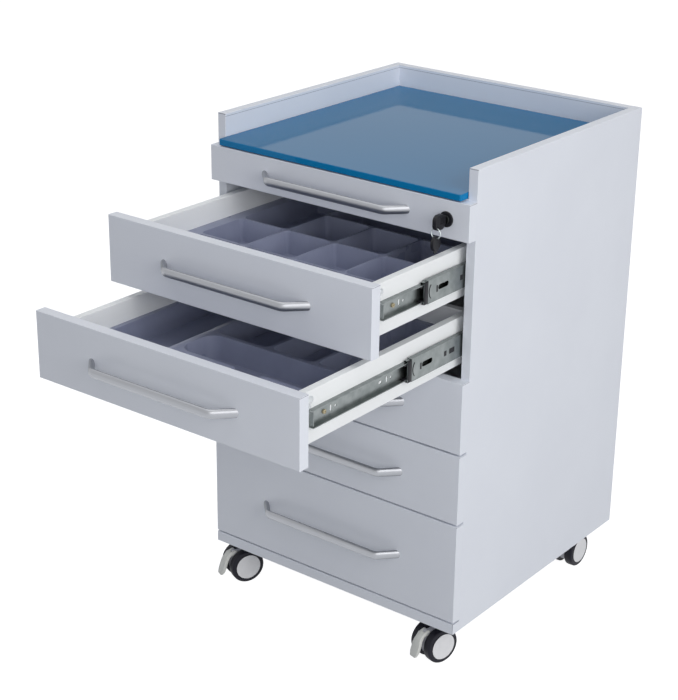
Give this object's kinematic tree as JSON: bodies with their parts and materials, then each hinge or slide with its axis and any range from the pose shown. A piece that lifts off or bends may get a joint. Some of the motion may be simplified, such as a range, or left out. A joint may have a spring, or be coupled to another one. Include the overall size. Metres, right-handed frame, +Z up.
{
  "type": "mobile dental cabinet",
  "caption": "White mobile dental cabinet with bar-handled drawers, moulded trays, cam lock, blue glass worktop and twin-wheel casters.",
  "frame": {"origin": "floor level under the middle of the overall box, with drawer 2 part open and drawer 3 nearly fully open, as in the picture", "axes": "+Z up, -Y out of the drawer fronts, +X to the right seen from the front; metres"},
  "size_m": [0.5, 0.916, 0.837],
  "materials": {
    "white_board": "smooth white melamine-faced board",
    "worktop_glass": "deep blue toughened glass with ground edges",
    "zinc_steel": "zinc plated",
    "satin_aluminium": "satin",
    "tray_plastic": "semi-gloss dark violet-grey vacuum-formed sheet",
    "black_plastic": "moulded black",
    "key_steel": "nickel plated",
    "caster_nylon": "moulded dark grey nylon",
    "wheel_grey": "light grey hub with dark soft tyre",
    "lever_grey": "moulded light grey"
  },
  "bodies": {
    "cabinet": {"left_side_panel": "white_board", "right_side_panel": "white_board", "back_panel": "white_board", "top_board": "white_board", "bottom_board": "white_board", "plinth_strip": "white_board", "glass_top": "worktop_glass", "cabinet_rails": "zinc_steel", "caster_mounts": "zinc_steel"},
    "drawer_1": {"drawer_1_front": "white_board", "drawer_1_box": "white_board", "drawer_1_handle": "satin_aluminium", "drawer_1_rails": "zinc_steel", "lock_body": "black_plastic"},
    "drawer_1_mids": {"drawer_1_mid_rails": "zinc_steel"},
    "drawer_2": {"drawer_2_front": "white_board", "drawer_2_box": "white_board", "drawer_2_handle": "satin_aluminium", "drawer_2_rails": "zinc_steel", "drawer_2_tray": "tray_plastic"},
    "drawer_2_mids": {"drawer_2_mid_rails": "zinc_steel"},
    "drawer_3": {"drawer_3_front": "white_board", "drawer_3_box": "white_board", "drawer_3_handle": "satin_aluminium", "drawer_3_rails": "zinc_steel", "drawer_3_tray": "tray_plastic"},
    "drawer_3_mids": {"drawer_3_mid_rails": "zinc_steel"},
    "drawer_4": {"drawer_4_front": "white_board", "drawer_4_box": "white_board", "drawer_4_handle": "satin_aluminium", "drawer_4_rails": "zinc_steel"},
    "drawer_4_mids": {"drawer_4_mid_rails": "zinc_steel"},
    "drawer_5": {"drawer_5_front": "white_board", "drawer_5_box": "white_board", "drawer_5_handle": "satin_aluminium", "drawer_5_rails": "zinc_steel"},
    "drawer_5_mids": {"drawer_5_mid_rails": "zinc_steel"},
    "drawer_6": {"drawer_6_front": "white_board", "drawer_6_box": "white_board", "drawer_6_handle": "satin_aluminium", "drawer_6_rails": "zinc_steel"},
    "drawer_6_mids": {"drawer_6_mid_rails": "zinc_steel"},
    "lock_core": {"lock_core": "key_steel", "key": "black_plastic"},
    "key_ring": {"key_ring": "key_steel"},
    "caster_front_left": {"caster_front_left_housing": "caster_nylon"},
    "caster_front_left_wheel_left": {"caster_front_left_wheel_left": "wheel_grey"},
    "caster_front_left_wheel_right": {"caster_front_left_wheel_right": "wheel_grey"},
    "caster_front_left_lever": {"caster_front_left_lever": "lever_grey"},
    "caster_front_right": {"caster_front_right_housing": "caster_nylon"},
    "caster_front_right_wheel_left": {"caster_front_right_wheel_left": "wheel_grey"},
    "caster_front_right_wheel_right": {"caster_front_right_wheel_right": "wheel_grey"},
    "caster_front_right_lever": {"caster_front_right_lever": "lever_grey"},
    "caster_back_left": {"caster_back_left_housing": "caster_nylon"},
    "caster_back_left_wheel_left": {"caster_back_left_wheel_left": "wheel_grey"},
    "caster_back_left_wheel_right": {"caster_back_left_wheel_right": "wheel_grey"},
    "caster_back_right": {"caster_back_right_housing": "caster_nylon"},
    "caster_back_right_wheel_left": {"caster_back_right_wheel_left": "wheel_grey"},
    "caster_back_right_wheel_right": {"caster_back_right_wheel_right": "wheel_grey"}
  },
  "joints": [
    {"name": "drawer_1_slide", "type": "slide", "parent": "cabinet", "child": "drawer_1", "axis": [0, -1, 0], "range_m": [0, 0.4]},
    {"name": "drawer_2_slide", "type": "slide", "parent": "cabinet", "child": "drawer_2", "axis": [0, -1, 0], "range_m": [-0.231, 0.169]},
    {"name": "drawer_3_slide", "type": "slide", "parent": "cabinet", "child": "drawer_3", "axis": [0, -1, 0], "range_m": [-0.384, 0.016]},
    {"name": "drawer_4_slide", "type": "slide", "parent": "cabinet", "child": "drawer_4", "axis": [0, -1, 0], "range_m": [0, 0.4]},
    {"name": "drawer_5_slide", "type": "slide", "parent": "cabinet", "child": "drawer_5", "axis": [0, -1, 0], "range_m": [0, 0.4]},
    {"name": "drawer_6_slide", "type": "slide", "parent": "cabinet", "child": "drawer_6", "axis": [0, -1, 0], "range_m": [0, 0.4]},
    {"name": "drawer_1_mid_slide", "type": "slide", "parent": "cabinet", "child": "drawer_1_mids", "axis": [0, -1, 0], "range_m": [0, 0.20001]},
    {"name": "drawer_2_mid_slide", "type": "slide", "parent": "cabinet", "child": "drawer_2_mids", "axis": [0, -1, 0], "range_m": [-0.12901, 0.09439]},
    {"name": "drawer_3_mid_slide", "type": "slide", "parent": "cabinet", "child": "drawer_3_mids", "axis": [0, -1, 0], "range_m": [-0.16401, 0.00684]},
    {"name": "drawer_4_mid_slide", "type": "slide", "parent": "cabinet", "child": "drawer_4_mids", "axis": [0, -1, 0], "range_m": [0, 0.20001]},
    {"name": "drawer_5_mid_slide", "type": "slide", "parent": "cabinet", "child": "drawer_5_mids", "axis": [0, -1, 0], "range_m": [0, 0.20001]},
    {"name": "drawer_6_mid_slide", "type": "slide", "parent": "cabinet", "child": "drawer_6_mids", "axis": [0, -1, 0], "range_m": [0, 0.20001]},
    {"name": "lock_turn", "type": "hinge", "parent": "drawer_1", "child": "lock_core", "pos_m": [0.2095, -0.044, 0.759], "axis": [0, 1, 0], "range_deg": [0, 90]},
    {"name": "key_ring_swing", "type": "hinge", "parent": "lock_core", "child": "key_ring", "pos_m": [0.2095, -0.0703, 0.752], "axis": [1, 0, 0], "range_deg": [-60, 25]},
    {"name": "caster_front_left_swivel", "type": "hinge", "parent": "cabinet", "child": "caster_front_left", "pos_m": [-0.205, 0.01, 0.06], "axis": [0, 0, 1], "continuous": true},
    {"name": "caster_front_left_wheel_left_spin", "type": "hinge", "parent": "caster_front_left", "child": "caster_front_left_wheel_left", "pos_m": [-0.21683, -0.01538, 0.03], "axis": [0.9063, -0.4226, 0], "continuous": true},
    {"name": "caster_front_left_wheel_right_spin", "type": "hinge", "parent": "caster_front_left", "child": "caster_front_left_wheel_right", "pos_m": [-0.21683, -0.01538, 0.03], "axis": [0.9063, -0.4226, 0], "continuous": true},
    {"name": "caster_front_left_brake", "type": "hinge", "parent": "caster_front_left", "child": "caster_front_left_lever", "pos_m": [-0.22444, -0.03169, 0.053], "axis": [0.9063, -0.4226, 0], "range_deg": [0, 8]},
    {"name": "caster_front_right_swivel", "type": "hinge", "parent": "cabinet", "child": "caster_front_right", "pos_m": [0.205, 0.01, 0.06], "axis": [0, 0, 1], "continuous": true},
    {"name": "caster_front_right_wheel_left_spin", "type": "hinge", "parent": "caster_front_right", "child": "caster_front_right_wheel_left", "pos_m": [0.19728, -0.01692, 0.03], "axis": [0.9613, -0.2756, 0], "continuous": true},
    {"name": "caster_front_right_wheel_right_spin", "type": "hinge", "parent": "caster_front_right", "child": "caster_front_right_wheel_right", "pos_m": [0.19728, -0.01692, 0.03], "axis": [0.9613, -0.2756, 0], "continuous": true},
    {"name": "caster_front_right_brake", "type": "hinge", "parent": "caster_front_right", "child": "caster_front_right_lever", "pos_m": [0.19232, -0.03422, 0.053], "axis": [0.9613, -0.2756, 0], "range_deg": [0, 8]},
    {"name": "caster_back_left_swivel", "type": "hinge", "parent": "cabinet", "child": "caster_back_left", "pos_m": [-0.205, 0.422, 0.06], "axis": [0, 0, 1], "continuous": true},
    {"name": "caster_back_left_wheel_left_spin", "type": "hinge", "parent": "caster_back_left", "child": "caster_back_left_wheel_left", "pos_m": [-0.20986, 0.39443, 0.03], "axis": [0.9848, -0.1736, 0], "continuous": true},
    {"name": "caster_back_left_wheel_right_spin", "type": "hinge", "parent": "caster_back_left", "child": "caster_back_left_wheel_right", "pos_m": [-0.20986, 0.39443, 0.03], "axis": [0.9848, -0.1736, 0], "continuous": true},
    {"name": "caster_back_right_swivel", "type": "hinge", "parent": "cabinet", "child": "caster_back_right", "pos_m": [0.205, 0.422, 0.06], "axis": [0, 0, 1], "continuous": true},
    {"name": "caster_back_right_wheel_left_spin", "type": "hinge", "parent": "caster_back_right", "child": "caster_back_right_wheel_left", "pos_m": [0.205, 0.394, 0.03], "axis": [1, 0, 0], "continuous": true},
    {"name": "caster_back_right_wheel_right_spin", "type": "hinge", "parent": "caster_back_right", "child": "caster_back_right_wheel_right", "pos_m": [0.205, 0.394, 0.03], "axis": [1, 0, 0], "continuous": true}
  ],
  "couplings": [
    {"joint": "drawer_1_mid_slide", "follows": "drawer_1_slide", "ratio": 0.5},
    {"joint": "drawer_2_mid_slide", "follows": "drawer_2_slide", "ratio": 0.55844},
    {"joint": "drawer_3_mid_slide", "follows": "drawer_3_slide", "ratio": 0.42708},
    {"joint": "drawer_4_mid_slide", "follows": "drawer_4_slide", "ratio": 0.5},
    {"joint": "drawer_5_mid_slide", "follows": "drawer_5_slide", "ratio": 0.5},
    {"joint": "drawer_6_mid_slide", "follows": "drawer_6_slide", "ratio": 0.5}
  ]
}
